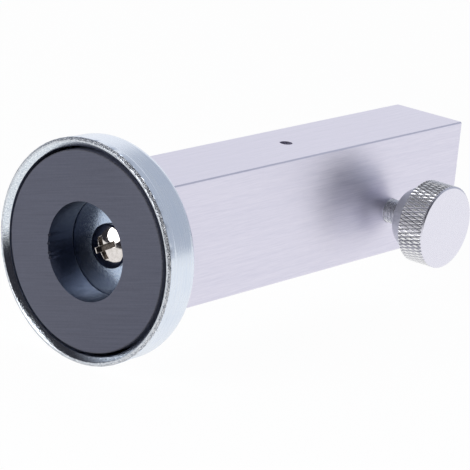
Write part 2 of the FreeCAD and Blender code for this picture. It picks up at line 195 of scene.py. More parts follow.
paint_colour = add_node(
    paper, "ShaderNodeMix", {"data_type": "RGBA", 6: linear("#F4F4F6"), 7: linear("#34353B")},
    {0: rays.outputs["Is Glossy Ray"]},
)
paint = add_node(paper, "ShaderNodeBsdfDiffuse", {}, {"Color": paint_colour.outputs[2]})
glow = add_node(paper, "ShaderNodeEmission", {"Color": linear("#FFFFFF"), "Strength": paper_glow})
mixed = add_node(
    paper, "ShaderNodeMixShader", {}, {0: share.outputs[0], 1: paint.outputs[0], 2: glow.outputs[0]}
)
add_node(paper, "ShaderNodeOutputMaterial", {}, {"Surface": mixed.outputs[0]})
table.data.materials.append(paper)
print("table at height in mm", round(cup_low.z, 2))

# %% [markdown]
# Bright metal shows the room around it, so the room matters more than the lamps. Behind the gauge
# hangs a white backdrop. The rest of the room is a dim blue grey and gets darker towards the
# photographer's end, which puts the black facets into the knurl and the black bands on the screw.

# %% Room
room = bpy.data.worlds.new("studio")
bpy.context.scene.world = room
room.use_nodes = True
room.node_tree.nodes.clear()
direction = add_node(room, "ShaderNodeTexCoord", {})


def stretch(towards, edge, core):
    """1 where the room's direction is within core of a direction, 0 beyond edge, both as cosines."""
    facing = add_node(
        room, "ShaderNodeVectorMath", {"operation": "DOT_PRODUCT", 1: Vector(towards).normalized()},
        {0: direction.outputs["Generated"]},
    )
    fade = add_node(
        room, "ShaderNodeMapRange", {"interpolation_type": "SMOOTHSTEP", "From Min": edge, "From Max": core},
        {"Value": facing.outputs["Value"]},
    )
    return fade.outputs[0]


dark_end = (-0.9, -0.3, 0.35)
dark_end_cosines = (-0.25, 0.4)
backdrop = (0.78, 0.62, 0.12)
backdrop_cosines = (0.82, 0.97)
dim_room = add_node(
    room, "ShaderNodeMix", {"data_type": "RGBA", 6: linear("#BCC1CB"), 7: linear("#323137")},
    {0: stretch(dark_end, *dark_end_cosines)},
)
with_backdrop = add_node(
    room, "ShaderNodeMix", {"data_type": "RGBA", 7: linear("#FDFDFF")},
    {0: stretch(backdrop, *backdrop_cosines), 6: dim_room.outputs[2]},
)
room_rays = add_node(room, "ShaderNodeLightPath", {})
seen_room = add_node(
    room, "ShaderNodeMix", {"data_type": "RGBA", 7: linear("#FFFFFF")},
    {0: room_rays.outputs["Is Camera Ray"], 6: with_backdrop.outputs[2]},
)
sky = add_node(room, "ShaderNodeBackground", {"Strength": 1.0}, {"Color": seen_room.outputs[2]})
add_node(room, "ShaderNodeOutputWorld", {}, {"Surface": sky.outputs[0]})
print("room nodes", len(room.node_tree.nodes))

# %% [markdown]
# One large soft box lights the gauge from the camera's left. The plated screw mirrors it as a
# white spot.

# %% Lamps
def soft_box(name, towards, distance, size, power):
    """A round lamp that looks at the middle of the gauge from a direction."""
    middle = (cad_box[0] + cad_box[1]) / 2
    place = middle + Vector(towards).normalized() * distance
    bpy.ops.object.light_add(type="AREA", location=place)
    lamp = bpy.context.object
    lamp.name = name
    lamp.data.shape = "DISK"
    lamp.data.size = size
    lamp.data.energy = power
    lamp.rotation_euler = (middle - place).to_track_quat("-Z", "Y").to_euler()
    print(name, "at", [round(v, 2) for v in place], "power", power)


soft_box("large_soft_box", towards=(-0.9, 0.17, 0.38), distance=0.8, size=0.62, power=3.9)

# %% [markdown]
# ## Finishes
# A finish starts with a pattern in real millimetres. The same pattern then moves the colour, the
# gloss and the relief together, as it does on a real surface, where a groove is both darker and
# rougher than the land beside it.

# %% Helpers for finishes
finishes = {}


def new_finish(name):
    """An empty material and the coordinates of the piece it will cover."""
    material = finishes[name] = bpy.data.materials.new(name)
    material.use_nodes = True
    material.node_tree.nodes.clear()
    return material, add_node(material, "ShaderNodeTexCoord", {}).outputs["Object"]


def grain(material, coordinates, sizes_mm, contrast=0.16, turn=(0, 0, 0), detail=3.0):
    """Noise from 0 to 1 whose spots measure sizes_mm along the three axes."""
    scale = [1 / (size * MM) for size in sizes_mm]
    turned = add_node(
        material, "ShaderNodeVectorRotate", {"rotation_type": "EULER_XYZ", "Rotation": turn},
        {"Vector": coordinates},
    )
    mapped = add_node(material, "ShaderNodeMapping", {"Scale": scale}, {"Vector": turned.outputs[0]})
    noise = add_node(
        material, "ShaderNodeTexNoise", {"Scale": 1.0, "Detail": detail}, {"Vector": mapped.outputs[0]}
    )
    spread = add_node(
        material, "ShaderNodeMapRange", {"From Min": 0.5 - contrast, "From Max": 0.5 + contrast},
        {"Value": noise.outputs["Fac"]},
    )
    return spread.outputs[0]


def off_axis(material, coordinates, centre_mm, across):
    """The distance from an axis in metres. Across is 1 along the two directions that count."""
    centred = add_node(
        material, "ShaderNodeVectorMath", {"operation": "SUBTRACT", 1: Vector(centre_mm) * MM},
        {0: coordinates},
    )
    flat = add_node(
        material, "ShaderNodeVectorMath", {"operation": "MULTIPLY", 1: across}, {0: centred.outputs[0]}
    )
    distance = add_node(material, "ShaderNodeVectorMath", {"operation": "LENGTH"}, {0: flat.outputs[0]})
    return distance.outputs["Value"]


def rings(material, coordinates, centre_mm, across, size_mm):
    """Rings round an axis, size_mm apart."""
    noise = add_node(
        material, "ShaderNodeTexNoise",
        {"noise_dimensions": "1D", "Scale": 1 / (size_mm * MM), "Detail": 2.0},
        {"W": off_axis(material, coordinates, centre_mm, across)},
    )
    return noise.outputs["Fac"]


def mix_patterns(material, first, second, share):
    """Two patterns in one, the second with the given share."""
    both = add_node(material, "ShaderNodeMix", {"data_type": "FLOAT", 0: share}, {2: first, 3: second})
    return both.outputs[0]


def dress(material, pattern, colours, roughness, relief_mm, settings, links=None):
    """A surface whose colour, gloss and relief follow one pattern."""
    tint = add_node(
        material, "ShaderNodeMix", {"data_type": "RGBA", 6: linear(colours[0]), 7: linear(colours[1])},
        {0: pattern},
    )
    gloss = add_node(
        material, "ShaderNodeMapRange", {"To Min": roughness[0], "To Max": roughness[1]}, {"Value": pattern}
    )
    relief = add_node(material, "ShaderNodeBump", {"Distance": relief_mm * MM}, {"Height": pattern})
    fed = {"Base Color": tint.outputs[2], "Roughness": gloss.outputs[0], "Normal": relief.outputs[0]}
    surface = add_node(material, "ShaderNodeBsdfPrincipled", settings, fed | (links or {}))
    add_node(material, "ShaderNodeOutputMaterial", {}, {"Surface": surface.outputs[0]})
    print("finish", material.name)


# %% [markdown]
# ### Brushed aluminium
# The bar is drawn and then brushed lengthwise with a fine belt. The belt leaves grooves a fifth of
# a millimetre apart and a few millimetres long. They smear reflections across the bar, which the
# anisotropy setting gives, with its tangent running round the bar's length.

# %% Brushed aluminium
brushed, place = new_finish("belt_brushed_aluminium")
strokes = grain(brushed, place, (5.0, 0.22, 0.22), contrast=0.2)
drift = grain(brushed, place, (38.0, 1.2, 1.2), detail=1.0)
round_bar = add_node(brushed, "ShaderNodeTangent", {"direction_type": "RADIAL", "axis": "X"})
dress(
    brushed, mix_patterns(brushed, strokes, drift, share=0.3),
    colours=("#DEDCEC", "#F0EDFA"), roughness=(0.32, 0.42), relief_mm=0.01,
    settings={"Metallic": 1.0, "Anisotropic": 0.6},
    links={"Tangent": round_bar.outputs[0]},
)

# %% [markdown]
# ### Zinc plate
# The pot is pressed steel with bright zinc, which is bluer than steel. Drawing the pot through its
# die leaves fine lines round the wall, and the barrel that plates it leaves soft clouds.

# %% Zinc plate
zinc_plate, place = new_finish("zinc_plate")
clouds = grain(zinc_plate, place, (4.0, 4.0, 4.0), contrast=0.25)
drawn_lines = grain(zinc_plate, place, (0.35, 14.0, 14.0), contrast=0.2)
dress(
    zinc_plate, mix_patterns(zinc_plate, clouds, drawn_lines, share=0.5),
    colours=("#D9E3F2", "#EDF3FB"), roughness=(0.18, 0.32), relief_mm=0.006,
    settings={"Metallic": 1.0},
)

# %% [markdown]
# The press shears the edge of the lip and leaves it torn: bright and dark specks a quarter of a
# millimetre across, deep enough to feel.

# %% Sheared zinc
sheared_zinc, place = new_finish("sheared_zinc")
dress(
    sheared_zinc, grain(sheared_zinc, place, (0.28, 0.16, 0.16), contrast=0.1),
    colours=("#6E7686", "#FAFCFF"), roughness=(0.2, 0.45), relief_mm=0.035,
    settings={"Metallic": 1.0},
)

# %% [markdown]
# Inside the lip the punch has squeezed the steel. The bevel there is dimpled and less bright.

# %% Hammered zinc
hammered_zinc, place = new_finish("hammered_zinc")
dress(
    hammered_zinc, grain(hammered_zinc, place, (0.3, 0.3, 0.3), contrast=0.2),
    colours=("#BCC7D4", "#F4F9FD"), roughness=(0.08, 0.18), relief_mm=0.012,
    settings={"Metallic": 1.0},
)

# %% [markdown]
# The pot's floor lies deep in the hole. Its zinc is smoother than outside, and its colour is darker
# and bluer than outside: painted shade deep in the hole.

# %% Floor zinc with painted shade
# Painted shade: the floor's zinc is darker and bluer than the outer zinc.
floor_zinc_painted_shade, place = new_finish("floor_zinc_painted_shade")
dress(
    floor_zinc_painted_shade, grain(floor_zinc_painted_shade, place, (0.5, 0.5, 0.5), contrast=0.2),
    colours=("#A9BAD4", "#C8D6EA"), roughness=(0.15, 0.25), relief_mm=0.006,
    settings={"Metallic": 1.0},
)

# %% [markdown]
# ### Ferrite
# The magnet is a fired ceramic of iron oxide, ground flat on its face. It is dark grey with a trace
# of violet, and the grinding wheel left straight, fine lines right across it.

# %% Ferrite
grinding_angle = math.radians(-15)
ferrite, place = new_finish("ferrite")
ground_lines = grain(ferrite, place, (0.3, 16.0, 0.3), turn=(-grinding_angle, 0, 0), contrast=0.2)
grit = grain(ferrite, place, (0.25, 0.25, 0.25))
dress(
    ferrite, mix_patterns(ferrite, ground_lines, grit, share=0.35),
    colours=("#434658", "#595C6D"), roughness=(0.42, 0.6), relief_mm=0.006,
    settings={"Specular IOR Level": 0.6},
)

# %% [markdown]
# The ring's bore isn't ground: it keeps the darker, smoother skin of the kiln. Where the grinding
# wheel left the ring's outer edge, the ceramic crumbled a little and shows light specks.

# %% Kiln skin and crumbled edge
kiln_skin, place = new_finish("kiln_skin")
dress(
    kiln_skin, grain(kiln_skin, place, (0.9, 0.9, 0.9)),
    colours=("#171C2C", "#20263A"), roughness=(0.3, 0.42), relief_mm=0.004,
    settings={"Specular IOR Level": 0.6, "Specular Tint": linear("#9DB2E6")},
)
crumbled_edge, place = new_finish("crumbled_edge")
dress(
    crumbled_edge, grain(crumbled_edge, place, (0.22, 0.22, 0.22), contrast=0.2),
    colours=("#1E2029", "#5C5D6A"), roughness=(0.5, 0.7), relief_mm=0.05,
    settings={},
)

# %% [markdown]
# ### Plated screw, turned knob and the small steel parts
# The magnet screw is nickel plated and almost a mirror. The knob is turned from free-cutting steel
# and plated: its flat face keeps the rings of the lathe tool.

# %% Nickel
nickel, place = new_finish("nickel_plate")
dress(
    nickel, grain(nickel, place, (0.8, 0.8, 0.8)),
    colours=("#D8D2CE", "#E8E3E0"), roughness=(0.05, 0.11), relief_mm=0.001,
    settings={"Metallic": 1.0},
)

# %% [markdown]
# The small parts need no more than an even grain. Each line of the table gives the size of the
# spots in millimetres, the two colours, the roughness and the depth of the relief.

# %% Plain steel, blackened steel, brass and wire
for name, sizes, colours, roughness, relief, settings in (
    ("centreless_steel", (0.2, 0.2, 4.0), ("#E2E4EA", "#F0F1F5"), (0.18, 0.3), 0.002, {"Metallic": 0.65}),
    ("satin_steel", (0.4, 0.4, 0.4), ("#E8EAF0", "#F2F4F8"), (0.34, 0.44), 0.001, {"Metallic": 0.65}),
    ("drawn_spring_wire", (0.4, 0.4, 0.4), ("#8A8C94", "#A5A7AE"), (0.25, 0.35), 0.002, {"Metallic": 1.0}),
    # The recess's nickel is darker and browner: painted shade in the recess.
    ("recess_nickel_painted_shade", (0.3, 0.3, 0.3), ("#4A4440", "#7A726B"), (0.2, 0.4), 0.01, {"Metallic": 1.0}),
    ("turned_brass", (0.3, 1.5, 0.3), ("#C9A95C", "#DDC07A"), (0.22, 0.34), 0.003, {"Metallic": 1.0}),
    ("oil_black_steel", (0.3, 0.3, 0.3), ("#1E1F23", "#2E3036"), (0.28, 0.42), 0.003, {"Metallic": 0.9}),
    ("moulded_acetal", (0.5, 0.5, 0.5), ("#141416", "#1D1D20"), (0.35, 0.5), 0.004, {}),
    ("dark_epoxy", (0.7, 0.7, 0.7), ("#241F1C", "#37302A"), (0.25, 0.5), 0.02, {}),
    ("moulded_nylon", (0.6, 0.6, 0.6), ("#E2E2DC", "#F0F0EC"), (0.4, 0.55), 0.004, {}),
    ("white_ink", (0.12, 0.12, 0.12), ("#E6E6E2", "#F4F4F1"), (0.5, 0.7), 0.002, {}),
    ("black_ink", (0.12, 0.12, 0.12), ("#0C0C0D", "#161617"), (0.4, 0.6), 0.002, {}),
    ("black_anodised", (0.16, 0.16, 0.16), ("#131316", "#1E1E22"), (0.36, 0.5), 0.003, {"Metallic": 0.4}),
):
    small_finish, place = new_finish(name)
    dress(small_finish, grain(small_finish, place, sizes), colours, roughness, relief, settings)

# %% [markdown]
# The knob's face shows the lathe's rings. Their pattern is a noise that changes only with the
# distance from the knob's axis. The pot's rim is dressed on a lathe too, with a tool that cuts
# deeper. The knurl's finish gets darker towards the axis, into its grooves: partly the oil and dirt
# that the grooves hold, partly painted shade in the grooves.

# %% Turned steel, rolled steel and turned rim
knob_low, knob_high = box_mm("adjuster_knob")
knob_centre = Vector(((knob_low.x + knob_high.x) / 2, 0, (knob_low.z + knob_high.z) / 2))
knob_r = (knob_high.x - knob_low.x) / 2
knurl_depth = 0.14
bright_share = 0.2
turned_steel, place = new_finish("turned_steel")
dress(
    turned_steel,
    mix_patterns(
        turned_steel, rings(turned_steel, place, knob_centre, (1, 0, 1), size_mm=0.3),
        grain(turned_steel, place, (0.9, 0.9, 0.9)), share=0.3,
    ),
    colours=("#E4E3F0", "#EFEEF8"), roughness=(0.24, 0.32), relief_mm=0.0005,
    settings={"Metallic": 1.0},
)
rolled_steel, place = new_finish("rolled_steel")
# Dirt and painted shade: the knurl's colour darkens from the lands down into the grooves.
groove_dirt_and_shade = add_node(
    rolled_steel, "ShaderNodeMapRange",
    {"From Min": (knob_r - knurl_depth) * MM, "From Max": (knob_r - bright_share * knurl_depth) * MM},
    {"Value": off_axis(rolled_steel, place, knob_centre, (1, 0, 1))},
)
dress(
    rolled_steel, groove_dirt_and_shade.outputs[0],
    colours=("#9C9DAB", "#FFFFFF"), roughness=(0.32, 0.2), relief_mm=0.0,
    settings={"Metallic": 0.7},
)
turned_rim, place = new_finish("turned_rim")
dress(
    turned_rim,
    mix_patterns(
        turned_rim, rings(turned_rim, place, (0, 0, 0), (0, 1, 1), size_mm=0.22),
        grain(turned_rim, place, (0.25, 0.5, 0.5)), share=0.35,
    ),
    colours=("#8C98A8", "#FAFCFF"), roughness=(0.16, 0.34), relief_mm=0.02,
    settings={"Metallic": 1.0},
)

# %% [markdown]
# ### Vials
# The tubes are clear acrylic. The fluid is a thin spirit with a yellow-green dye. A faint painted glow
# stands in for the dye's fluorescence. It bends light a little less than the acrylic.

# %% Clear acrylic and vial fluid
# The last column is a painted glow: the fluid gives off a little light of its own.
for name, colours, roughness, ior, painted_glow in (
    ("polished_acrylic", ("#FAFDFC", "#FFFFFF"), (0.0, 0.02), 1.49, 0.0),
    ("dyed_spirit", ("#C9F04A", "#D3F65A"), (0.0, 0.01), 1.36, 0.22),
):
    clear, place = new_finish(name)
    settings = {
        "Transmission Weight": 1.0, "IOR": ior,
        "Emission Color": linear("#A6E01E"), "Emission Strength": painted_glow,
    }
    pattern = grain(clear, place, (2.0, 2.0, 2.0))
    dress(clear, pattern, colours, roughness, relief_mm=0.0, settings=settings)

# %% [markdown]
# ## Shaping
# Most pieces of the gauge are turned or pressed round, so they are made as on a lathe. A single
# vertex is drawn out along half of the section, its corners are rounded, and the outline is spun
# round the axis. Reading the outline is then the same as reading the drawing of the piece.

# %% Helpers for shaping
MERGE = 1e-7
SAME_PLACE = 10 * MERGE
LEAST_SEGMENTS = 3
SEGMENTS_PER_MM = 4
ORIGIN = (0, 0, 0)
ANYWHERE = (-math.inf, math.inf)


def deselect():
    bpy.ops.object.select_all(action="DESELECT")


def pick(kind, test):
    """Selects, in edit mode, the vertices, edges or faces that pass a test."""
    mesh = bpy.context.edit_object.data
    bpy.ops.mesh.select_mode(type={"verts": "VERT", "edges": "EDGE", "faces": "FACE"}[kind])
    bpy.ops.mesh.select_all(action="DESELECT")
    work = bmesh.from_edit_mesh(mesh)
    chosen = [part for part in getattr(work, kind) if test(part)]
    for part in chosen:
        part.select_set(True)
    work.select_flush_mode()
    bmesh.update_edit_mesh(mesh)
    return len(chosen)


def on_lathe(axis, centre_mm, along, radius):
    """The place in metres of a point at a distance along an axis and a radius from it."""
    place = list(centre_mm)
    place[axis] = along
    place[0 if axis == 2 else 2] += radius
    return Vector(place) * MM


def turn(name, axis, centre_mm, outline, steps):
    """Spins (along, radius, round) points in mm round an axis: 0 for X, 1 for Y, 2 for Z."""
    points = [on_lathe(axis, centre_mm, corner[0], corner[1]) for corner in outline]
    deselect()
    bpy.ops.mesh.primitive_plane_add(size=MM, location=points[0])
    bpy.ops.object.transform_apply(location=True)
    piece = bpy.context.object
    piece.name = piece.data.name = name
    bpy.ops.object.mode_set(mode="EDIT")
    bpy.ops.mesh.select_mode(type="VERT")
    bpy.ops.mesh.select_all(action="SELECT")
    bpy.ops.mesh.merge(type="CENTER")
    for here, there in zip(points, points[1:]):
        bpy.ops.mesh.extrude_vertices_move(TRANSFORM_OT_translate={"value": there - here})
    for corner, point in zip(outline, points):
        if len(corner) > 2:
            pick("verts", lambda v: (v.co - point).length < SAME_PLACE)
            segments = max(LEAST_SEGMENTS, round(corner[2] * SEGMENTS_PER_MM))
            bpy.ops.mesh.bevel(affect="VERTICES", offset=corner[2] * MM, segments=segments)
    bpy.ops.mesh.select_all(action="SELECT")
    direction = [0.0, 0.0, 0.0]
    direction[axis] = 1.0
    bpy.ops.mesh.spin(steps=steps, angle=math.tau, center=Vector(centre_mm) * MM, axis=direction)
    bpy.ops.mesh.select_all(action="SELECT")
    bpy.ops.mesh.remove_doubles(threshold=MERGE)
    bpy.ops.mesh.normals_make_consistent(inside=False)
    bpy.ops.object.mode_set(mode="OBJECT")
    return piece


def finish_piece(piece, body, finish, slot, *nodes, smooth=35.0):
    """Shades a piece, gives it its finish and body, and lets it stand for nodes of the frame."""
    deselect()
    piece.select_set(True)
    bpy.context.view_layer.objects.active = piece
    bpy.ops.object.transform_apply(location=True, rotation=True, scale=True)
    bpy.ops.object.shade_smooth_by_angle(angle=math.radians(smooth))
    piece.data.materials.clear()
    piece.data.materials.append(finishes[finish])
    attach(piece, body)
    if nodes:
        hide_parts(*nodes)
    triangles = sum(len(face.vertices) - 2 for face in piece.data.polygons)
    print(piece.name, "triangles", triangles, "size in mm", [round(v / MM, 2) for v in piece.dimensions])


def second_finish(piece, finish, test):
    """Gives the faces of a finished piece that pass a test another finish."""
    piece.data.materials.append(finishes[finish])
    bpy.ops.object.mode_set(mode="EDIT")
    chosen = pick("faces", test)
    piece.active_material_index = len(piece.data.materials) - 1
    bpy.ops.object.material_slot_assign()
    bpy.ops.object.mode_set(mode="OBJECT")
    print(finish, "covers", chosen, "faces of", piece.name)


def band(axis, centre_mm, along, radius):
    """A test for faces: their middle is between two places on an axis and two radii from it, in mm."""
    def test(face):
        middle = face.calc_center_median()
        off = middle - Vector(centre_mm) * MM
        off[axis] = 0.0
        return (
            along[0] * MM < middle[axis] < along[1] * MM
            and radius[0] * MM < off.length < radius[1] * MM
        )
    return test


def arc_points(start, end, radius, count):
    """Points of an outline on an arc that bulges away from the axis, its ends left out."""
    (x0, r0), (x1, r1) = start, end
    half = math.hypot(x1 - x0, r1 - r0) / 2
    reach = math.sqrt(radius**2 - half**2)
    across = Vector((r1 - r0, x0 - x1)).normalized()
    middle = Vector(((x0 + x1) / 2, (r0 + r1) / 2))
    centre = middle + across * reach
    first = math.atan2(r0 - centre.y, x0 - centre.x)
    sweep = 2 * math.asin(half / radius)
    found = []
    for i in range(1, count):
        angle = first - sweep * i / count
        found.append((centre.x + radius * math.cos(angle), centre.y + radius * math.sin(angle)))
    return found


print("helpers ready")

# %% [markdown]
# ## Magnet pot
# The pot is drawn from steel sheet: a floor, a rounded corner, a wall, and a lip that stands a
# little proud of the wall, which leaves a thin bright step round the pot.

# %% Magnet pot
cup_r = cup_high.z
cup_back = cup_high.x
sheet_thickness = 1.0
wall_thickness = 1.9
lip_step = 0.15
cup_floor = cup_back - sheet_thickness
cup_wall_r = cup_r - lip_step
cup_inner_r = cup_wall_r - wall_thickness
cup_bore_r = 2.75
inner_bevel = 1.15
sheared_edge = 0.5
sheared_land = 0.1
lip_width, lip_slope = 2.5, 0.4
floor_round, drawn_round, bore_round = 0.6, 3.0, 0.2
bevel_round, edge_round, step_round = 0.1, 0.08, 0.03
cup = turn("magnet_pot", 0, ORIGIN, [
    (cup_floor, cup_bore_r), (cup_floor, cup_inner_r, floor_round),
    (inner_bevel, cup_inner_r, bevel_round), (0.0, cup_inner_r + inner_bevel, edge_round),
    (0.0, cup_r - sheared_edge, edge_round), (sheared_edge, cup_r, edge_round),
    (sheared_edge + sheared_land, cup_r), (lip_width - lip_slope, cup_r, edge_round),
    (lip_width, cup_wall_r, step_round), (cup_back, cup_wall_r, drawn_round),
    (cup_back, cup_bore_r, bore_round), (cup_floor, cup_bore_r),
], steps=320)

# %% [markdown]
# The press shears the lip's edge, so it isn't a clean line. Its vertices are moved by a few
# hundredths of a millimetre at random, with a seed that keeps them the same each time.

# %% Sheared edge of the lip
edge_roughness = 0.05


def in_sheared_edge(vertex):
    """Whether a vertex lies on the lip's outer edge."""
    return (
        vertex.co.x < (sheared_edge + sheared_land) * MM
        and vertex.co.yz.length > (cup_r - sheared_edge - sheared_land) * MM
    )


bpy.ops.object.mode_set(mode="EDIT")
edge_vertices = pick("verts", in_sheared_edge)
bpy.ops.transform.vertex_random(offset=edge_roughness * MM, seed=4)
bpy.ops.object.mode_set(mode="OBJECT")
finish_piece(cup, "housing", "zinc_plate", "zinc_plated_steel", "magnet_cup")
print("sheared vertices", edge_vertices)

# %% [markdown]
# Each further finish covers a band of the pot: the rim, the dimpled bevel inside it, the floor with
# its rounded corner, and the torn edge.

# %% Bands of the pot
slack = 0.1
bevel_end = cup_floor - 1.0
floor_start = cup_floor - floor_round - slack
second_finish(cup, "turned_rim", band(0, ORIGIN, (-math.inf, slack), (cup_inner_r, math.inf)))
second_finish(
    cup, "hammered_zinc",
    band(0, ORIGIN, (slack, bevel_end), (cup_inner_r - slack, cup_inner_r + inner_bevel)),
)
# The floor and its rounded corner take the darker zinc, painted shade deep in the hole.
second_finish(
    cup, "floor_zinc_painted_shade", band(0, ORIGIN, (floor_start, cup_floor + slack), (-math.inf, cup_inner_r)),
)
second_finish(
    cup, "sheared_zinc", band(0, ORIGIN, (-math.inf, sheared_edge), (cup_r - sheared_edge, math.inf)),
)

# %% [markdown]
# ## Ferrite ring
# The ring is pressed from powder, fired and ground, and its edges are worn round.

# %% Ferrite ring
ring_low, ring_high = box_mm("magnet_ring")
ring_bore_r = 11.0
bore_edge_round, ring_edge_round = 0.2, 0.25
chip_depth = 0.6
ring = turn("ferrite_ring", 0, ORIGIN, [
    (ring_low.x, ring_bore_r, bore_edge_round), (ring_low.x, ring_high.z, ring_edge_round),
    (ring_high.x, ring_high.z, ring_edge_round), (ring_high.x, ring_bore_r, ring_edge_round),
    (ring_low.x + chip_depth, ring_bore_r), (ring_low.x, ring_bore_r),
], steps=320)

# %% [markdown]
# A few small chips are broken out of the hole's edge. They are made by pushing groups of the edge's
# vertices outwards, into the ceramic, and roughening them.

# %% Chips and finish of the ring
chip_places = (0.9, -0.9, -3.1, -4.2)
chip_spread, edge_band = 0.2, 0.3
chip_reach, chip_roughness = 1.02, 0.06
skin_depth = 0.02


def on_chip(vertex, chip_z):
    """Whether a vertex of the hole's front edge belongs to the chip at a height."""
    return (
        vertex.co.x < (ring_low.x + edge_band) * MM and vertex.co.y > 0
        and vertex.co.yz.length < (ring_bore_r + edge_band) * MM
        and abs(vertex.co.z - chip_z * MM) < chip_spread * MM
    )


chips = 0
bpy.ops.object.mode_set(mode="EDIT")
for chip_z in chip_places:
    chips += pick("verts", lambda v: on_chip(v, chip_z))
    bpy.ops.transform.resize(value=(1, chip_reach, chip_reach), center_override=ORIGIN)
    bpy.ops.transform.vertex_random(offset=chip_roughness * MM, seed=7)
bpy.ops.object.mode_set(mode="OBJECT")
finish_piece(ring, "housing", "ferrite", "hard_ferrite", "magnet_ring")
second_finish(
    ring, "kiln_skin",
    band(0, ORIGIN, (ring_low.x + slack, math.inf), (-math.inf, ring_bore_r + skin_depth)),
)
second_finish(
    ring, "crumbled_edge",
    band(0, ORIGIN, (-math.inf, ring_low.x + edge_band), (ring_high.z - ring_edge_round, math.inf)),
)
print("vertices in chips", chips)

# %% [markdown]
# ## Magnet screw
# A pan head screw holds the pot to the bar. Its dome is turned: the radius of the crown follows from
# the head's width and height.

# %% Screw blank
screw_low, screw_high = box_mm("magnet_screw")
head_r = 5.0
head_side = 0.8
head_round = 0.35
shank_r = 2.45
shank_chamfer = 0.5
crown_x = screw_low.x
shoulder_x = cup_floor - head_side
crown = shoulder_x - crown_x
crown_radius = (head_r**2 + crown**2) / (2 * crown)
dome = arc_points((crown_x, 0.0), (shoulder_x, head_r), crown_radius, count=14)
screw = turn("magnet_screw_plated", 0, ORIGIN, [
    (crown_x, 0.0), *dome, (shoulder_x, head_r, head_round), (cup_floor, head_r),
    (cup_floor, shank_r), (screw_high.x - shank_chamfer, shank_r),
    (screw_high.x, shank_r - shank_chamfer), (screw_high.x, 0.0),
], steps=128)

# %% [markdown]
# The driver's recess is struck into the dome a little off its middle: a cross with tapering arms and
# a shallow slot. Here it is cut with wedges, and its walls take a darker finish: painted shade in the
# recess.

# %% Driver recess
cutter_overrun = 1.0
struck_off_y, struck_off_z = 0.3, -0.25


def recess_wedge(length, width, depth, end_share, angle):
    """A wedge across the head that narrows with depth, turned about the screw's axis."""
    deselect()
    bpy.ops.mesh.primitive_cube_add(size=1.0, location=ORIGIN)
    wedge = bpy.context.object
    tall = depth + cutter_overrun
    bpy.ops.object.mode_set(mode="EDIT")
    bpy.ops.mesh.select_all(action="SELECT")
    bpy.ops.transform.resize(value=(tall * MM, length * MM, width * MM), center_override=ORIGIN)
    pick("faces", lambda f: f.normal.x > 0.5)
    bpy.ops.transform.resize(value=(1, end_share, end_share), center_override=ORIGIN)
    bpy.ops.object.mode_set(mode="OBJECT")
    wedge.rotation_euler.x = angle
    wedge.location = Vector((crown_x - cutter_overrun + tall / 2, struck_off_y, struck_off_z)) * MM
    bpy.ops.object.transform_apply(location=True, rotation=True)
    return wedge


def cut_away(piece, cutter, keep="DIFFERENCE"):
    """Cuts one mesh out of another, or keeps what both share, and removes the second one."""
    cut = piece.modifiers.new("cut", "BOOLEAN")
    cut.operation, cut.solver, cut.object = keep, "EXACT", cutter
    deselect()
    piece.select_set(True)
    bpy.context.view_layer.objects.active = piece
    bpy.ops.object.modifier_apply(modifier=cut.name)
    bpy.data.objects.remove(cutter)


slot_angle = math.radians(-29)
struck_round = 0.12
recess_reach, recess_skin = 3.3, 0.25
for angle in (slot_angle, slot_angle + math.pi / 2):
    cut_away(screw, recess_wedge(length=6.4, width=1.6, depth=1.9, end_share=0.6, angle=angle))
cut_away(screw, recess_wedge(length=7.0, width=1.3, depth=0.65, end_share=1.0, angle=slot_angle))
rounding = screw.modifiers.new("struck_edges", "BEVEL")
rounding.width, rounding.segments = struck_round * MM, 2
rounding.limit_method, rounding.angle_limit = "ANGLE", math.radians(30)
bpy.ops.object.modifier_apply(modifier=rounding.name)
finish_piece(screw, "housing", "nickel_plate", "nickel_plated_steel", "magnet_screw", smooth=40.0)
dome_centre = Vector((crown_x + crown_radius, 0, 0)) * MM


def in_recess(face):
    """Whether a face lies under the dome's surface and near the screw's axis."""
    middle = face.calc_center_median()
    return (
        middle.x < cup_floor * MM and middle.yz.length < recess_reach * MM
        and (middle - dome_centre).length < (crown_radius - recess_skin) * MM
    )


# The recess's walls take the darker nickel, painted shade inside the recess.
second_finish(screw, "recess_nickel_painted_shade", in_recess)

# %% [markdown]
# ## Thumb screw knob
# The knob's rim is diamond knurled: two sets of sloping grooves are rolled into it, and what they
# leave is a small pyramid in each diamond. A texture would leave the outline smooth, so the grooves
# are real. The bar stock is an open cylinder whose vertices are the corners and tips of the
# diamonds: every second vertex is raised to a tip, and the short diagonals fall into the grooves.

# %% Knurled bar stock
diamonds_round = 62
half_rows = 4
tip_rise = 0.16
rim_length = 7.0
groove_r = knob_r - knurl_depth
face_y = knob_low.y
row_height = rim_length / half_rows
net_rows = half_rows + 2
net_start = face_y - row_height
net_length = net_rows * row_height
net_middle = Vector((knob_centre.x, net_start + net_length / 2, knob_centre.z)) * MM

deselect()
bpy.ops.mesh.primitive_cylinder_add(
    vertices=2 * diamonds_round, radius=groove_r * MM, depth=net_length * MM,
    end_fill_type="NOTHING", location=net_middle, rotation=(math.pi / 2, 0, 0),
)
bpy.ops.object.transform_apply(location=True, rotation=True)
stock = bpy.context.object
bpy.ops.object.mode_set(mode="EDIT")
pick("edges", lambda e: abs(e.verts[0].co.y - e.verts[1].co.y) > row_height * MM)
bpy.ops.mesh.subdivide(number_cuts=net_rows - 1)


def is_tip(vertex):
    """Every second vertex of the net, by its column round the knob and its row along it."""
    angle = math.atan2(vertex.co.z - net_middle.z, vertex.co.x - net_middle.x)
    column = round(angle / math.tau * 2 * diamonds_round)
    row = round((vertex.co.y / MM - net_start) / row_height)
    return (column + row) % 2 == 1 and 0 < row < net_rows


